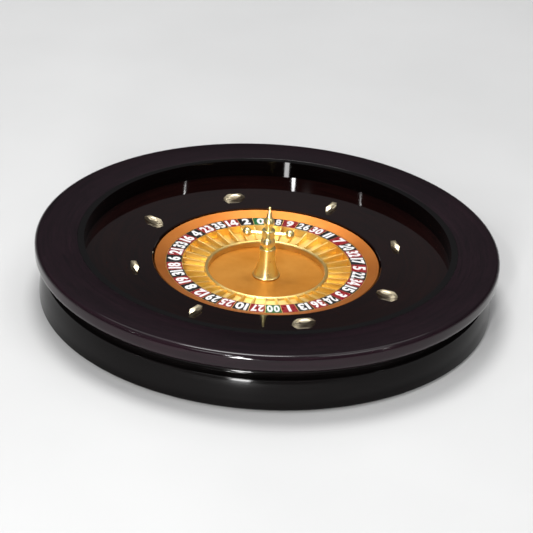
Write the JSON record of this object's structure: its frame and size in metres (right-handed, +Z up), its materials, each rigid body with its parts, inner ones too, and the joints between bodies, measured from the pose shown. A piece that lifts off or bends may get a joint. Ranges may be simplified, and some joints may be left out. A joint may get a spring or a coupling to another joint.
{
  "type": "roulette wheel",
  "caption": "Table-top roulette wheel: a lacquered bowl with deflectors on its sloping apron, and a gilt numbered wheelhead with pockets and a turret that spins on ball bearings.",
  "frame": {"origin": "middle of the bottom face, on the table that the wheel stands on", "axes": "+Z up along the spindle; the wheelhead's zero pocket is at 79 degrees from +X at rest, and the picture looks from the -Y side"},
  "size_m": [0.4999, 0.5, 0.106],
  "materials": {
    "felt": "matt",
    "board": "raw fibreboard",
    "black_lacquer": "gloss lacquer",
    "rim_lacquer": "satin lacquer over dark stained wood",
    "apron_lacquer": "gloss lacquer over dark stained wood",
    "deflector_brass": "polished",
    "steel": "turned",
    "bearing_steel": "ground",
    "cage_brass": "stamped",
    "hub_alloy": "turned",
    "orange_gold": "satin gold",
    "number_print": "red, black and green cells with white numerals",
    "bright_gold": "bright gold",
    "dish_gold": "polished, radially brushed",
    "turret_brass": "polished"
  },
  "bodies": {
    "bowl": {"felt_pad": "felt", "base_plate": "board", "base_screws": "steel", "bowl_shell": "black_lacquer", "apron": "apron_lacquer", "apron_screws": "steel", "rim_ring": "rim_lacquer", "rim_screws": "steel", "track_wall": "black_lacquer", "deflector_1": "deflector_brass", "deflector_2": "deflector_brass", "deflector_3": "deflector_brass", "deflector_4": "deflector_brass", "deflector_5": "deflector_brass", "deflector_6": "deflector_brass", "deflector_7": "deflector_brass", "deflector_8": "deflector_brass", "deflector_pins": "steel", "spindle_flange": "steel", "flange_screws": "steel", "spindle": "steel", "bearing_spacer": "steel", "spindle_washer": "steel", "spindle_nut": "steel", "lower_inner_race": "bearing_steel", "upper_inner_race": "bearing_steel"},
    "wheelhead": {"lower_outer_race": "bearing_steel", "upper_outer_race": "bearing_steel", "bearing_hub": "hub_alloy", "hub_screws": "steel", "head_plate": "board", "head_riser": "board", "outer_ring": "orange_gold", "number_ring": "number_print", "pocket_floor": "bright_gold", "pocket_frets": "bright_gold", "dish_curb": "bright_gold", "centre_dish": "dish_gold", "turret_base": "turret_brass", "turret_column": "turret_brass", "turret_ball": "turret_brass", "turret_arm_hub": "turret_brass", "turret_arms": "turret_brass", "arm_knobs": "turret_brass", "turret_top_knob": "turret_brass", "turret_finial": "turret_brass", "turret_stud": "steel"},
    "lower_ball_set": {"lower_cage": "cage_brass", "lower_balls": "bearing_steel"},
    "upper_ball_set": {"upper_cage": "cage_brass", "upper_balls": "bearing_steel"}
  },
  "joints": [
    {"name": "wheelhead_spin", "type": "hinge", "parent": "bowl", "child": "wheelhead", "pos_m": [0, 0, 0], "axis": [0, 0, 1], "continuous": true},
    {"name": "lower_ball_orbit", "type": "hinge", "parent": "bowl", "child": "lower_ball_set", "pos_m": [0, 0, 0], "axis": [0, 0, 1], "continuous": true},
    {"name": "upper_ball_orbit", "type": "hinge", "parent": "bowl", "child": "upper_ball_set", "pos_m": [0, 0, 0], "axis": [0, 0, 1], "continuous": true}
  ],
  "couplings": [
    {"joint": "lower_ball_orbit", "follows": "wheelhead_spin", "ratio": 0.632},
    {"joint": "upper_ball_orbit", "follows": "wheelhead_spin", "ratio": 0.636}
  ]
}
